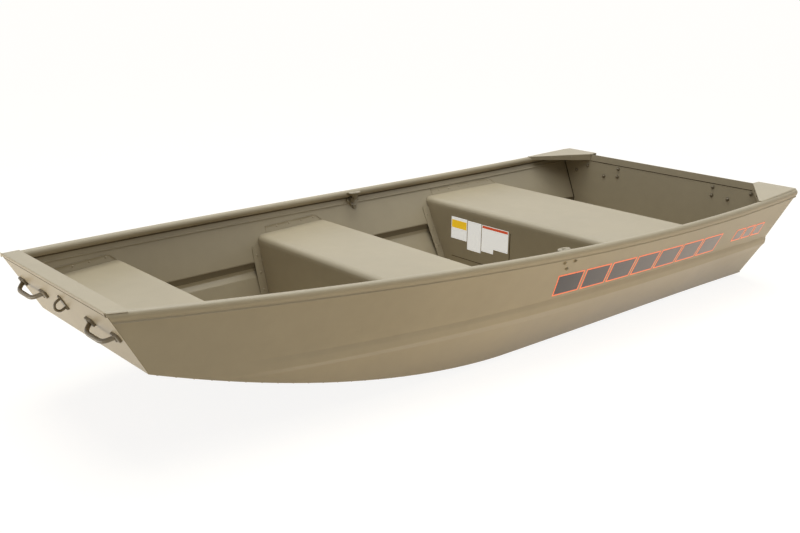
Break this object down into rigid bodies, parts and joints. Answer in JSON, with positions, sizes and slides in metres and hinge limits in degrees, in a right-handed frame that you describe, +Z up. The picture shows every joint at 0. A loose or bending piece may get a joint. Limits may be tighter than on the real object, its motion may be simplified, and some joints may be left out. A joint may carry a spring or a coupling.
{
  "type": "jon boat",
  "caption": "Open flat-bottomed riveted aluminium boat with square bow, bench seats, tube gunwales, oarlock sockets, lifting handles, bow eye and drain tube.",
  "frame": {"origin": "on the floor under the middle of the boat's overall length, on its centreline, at the underside of the keels", "axes": "+X towards the bow, +Y to port, +Z up"},
  "size_m": [3.0182, 1.2424, 0.4655],
  "materials": {
    "khaki_paint": "satin khaki tan paint on aluminium sheet",
    "hardware_paint": "satin olive brown paint on cast and bent hardware",
    "bare_aluminium": "plain turned aluminium"
  },
  "bodies": {
    "root": {"hull_bottom": "khaki_paint", "hull_side_port": "khaki_paint", "hull_side_starboard": "khaki_paint", "bow_plate": "khaki_paint", "bow_cap": "khaki_paint", "transom": "khaki_paint", "transom_cap": "khaki_paint", "gunwale_port": "khaki_paint", "gunwale_starboard": "khaki_paint", "transom_gusset_port": "khaki_paint", "transom_gusset_starboard": "khaki_paint", "bow_seat": "khaki_paint", "middle_seat": "khaki_paint", "stern_seat": "khaki_paint", "seat_flange_bow_port": "khaki_paint", "seat_flange_bow_starboard": "khaki_paint", "seat_flange_middle_port": "khaki_paint", "seat_flange_middle_starboard": "khaki_paint", "seat_flange_stern_port": "khaki_paint", "seat_flange_stern_starboard": "khaki_paint", "floor_rib_forward": "khaki_paint", "floor_rib_middle": "khaki_paint", "floor_rib_stern": "khaki_paint", "keel_centre": "khaki_paint", "keel_port": "khaki_paint", "keel_starboard": "khaki_paint", "bow_handle_port": "hardware_paint", "bow_handle_starboard": "hardware_paint", "bow_eye": "hardware_paint", "stern_handle_port": "hardware_paint", "stern_handle_starboard": "hardware_paint", "oarlock_socket_port": "hardware_paint", "oarlock_socket_starboard": "hardware_paint", "drain_tube": "bare_aluminium"}
  },
  "joints": []
}
